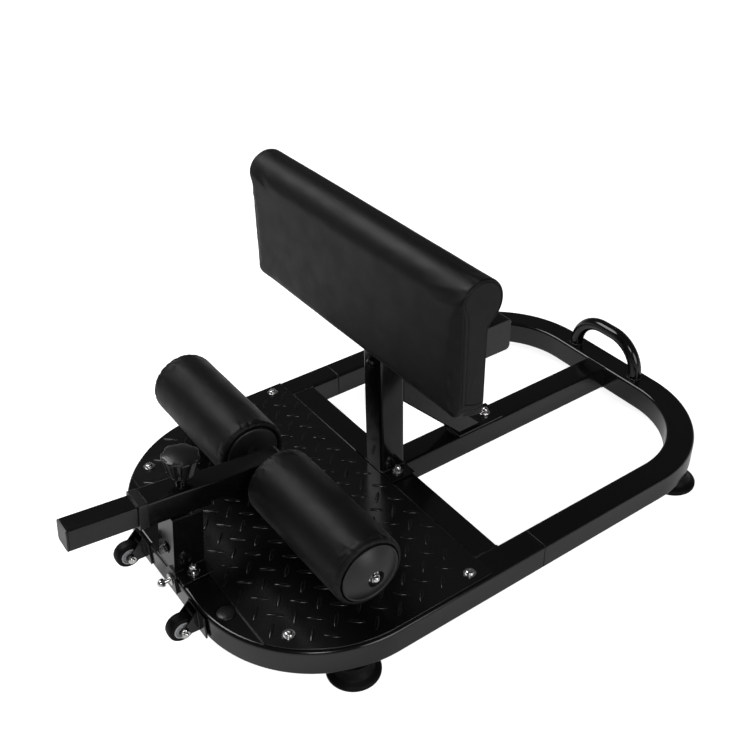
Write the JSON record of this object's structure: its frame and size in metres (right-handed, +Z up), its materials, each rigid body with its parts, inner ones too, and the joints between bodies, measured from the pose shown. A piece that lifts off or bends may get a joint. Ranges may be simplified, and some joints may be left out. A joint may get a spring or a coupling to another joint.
{
  "type": "sissy squat machine",
  "caption": "Floor-standing leg exercise frame with a ring base, tread plate, sliding padded foot rollers and an upright shin pad.",
  "frame": {"origin": "on the floor, under the centre of the bounding box", "axes": "+Z up, +Y from the transport wheels at the front to the carry handle at the rear, +X to the right of the machine seen from its rear"},
  "size_m": [0.666, 1.1555, 0.5885],
  "materials": {
    "paint": "gloss",
    "plastic": "satin",
    "rubber": "matte",
    "chrome": "polished",
    "vinyl": "satin",
    "nylon": "satin",
    "board": "matte"
  },
  "bodies": {
    "base": {"brace": "paint", "brace_bolt": "chrome", "carry_handle": "paint", "centre_rail": "paint", "clamp_sleeve": "paint", "cross_beam": "paint", "foot_front_left": "rubber", "foot_front_right": "rubber", "foot_rear_left": "rubber", "foot_rear_right": "rubber", "front_ring_tube": "paint", "joint_spigot_left": "paint", "joint_spigot_right": "paint", "lug_bolt": "chrome", "pad_board": "board", "pad_bolt_left": "chrome", "pad_bolt_right": "chrome", "pad_cushion": "vinyl", "pad_tube": "paint", "pad_tube_cap_left": "plastic", "pad_tube_cap_right": "plastic", "plate_screw_front_left": "chrome", "plate_screw_front_right": "chrome", "plate_screw_rear_left": "chrome", "plate_screw_rear_right": "chrome", "platform_rail": "paint", "post": "paint", "post_bolt_left": "chrome", "post_bolt_right": "chrome", "rear_ring_tube": "paint", "saddle_bolt_left": "chrome", "saddle_bolt_right": "chrome", "saddle_bracket": "paint", "sleeve_collar": "plastic", "tread_plate": "paint", "tube_plug_left": "plastic", "tube_plug_right": "plastic", "wheel_axle_left": "chrome", "wheel_axle_right": "chrome", "wheel_fork_left": "paint", "wheel_fork_right": "paint"},
    "wheel_right": {"wheel_tyre_right": "rubber", "wheel_hub_right": "nylon"},
    "wheel_left": {"wheel_tyre_left": "rubber", "wheel_hub_left": "nylon"},
    "carriage": {"roller_tube": "paint", "roller_tube_cap_front": "plastic", "roller_tube_cap_rear": "plastic", "roller_shaft": "chrome", "roller_bolt_right": "chrome", "roller_bolt_left": "chrome"},
    "roller_right": {"roller_foam_right": "vinyl", "roller_spool_right": "plastic", "roller_cap_right": "plastic"},
    "roller_left": {"roller_foam_left": "vinyl", "roller_spool_left": "plastic", "roller_cap_left": "plastic"},
    "clamp": {"clamp_knob": "plastic", "clamp_screw": "chrome"}
  },
  "joints": [
    {"name": "wheel_right_spin", "type": "hinge", "parent": "base", "child": "wheel_right", "pos_m": [0.097, -0.4612, 0.045], "axis": [1, 0, 0], "continuous": true},
    {"name": "wheel_left_spin", "type": "hinge", "parent": "base", "child": "wheel_left", "pos_m": [-0.097, -0.4612, 0.045], "axis": [1, 0, 0], "continuous": true},
    {"name": "carriage_slide", "type": "slide", "parent": "base", "child": "carriage", "axis": [0, 0.9945, -0.1045], "range_m": [-0.085, 0.095]},
    {"name": "roller_right_spin", "type": "hinge", "parent": "carriage", "child": "roller_right", "pos_m": [0.169, -0.23594, 0.18001], "axis": [1, 0, 0], "continuous": true},
    {"name": "roller_left_spin", "type": "hinge", "parent": "carriage", "child": "roller_left", "pos_m": [-0.169, -0.23594, 0.18001], "axis": [1, 0, 0], "continuous": true},
    {"name": "clamp_turn", "type": "hinge", "parent": "base", "child": "clamp", "pos_m": [0, -0.38228, 0.25522], "axis": [0, 0.1045, 0.9945], "range_deg": [0, 360]}
  ]
}
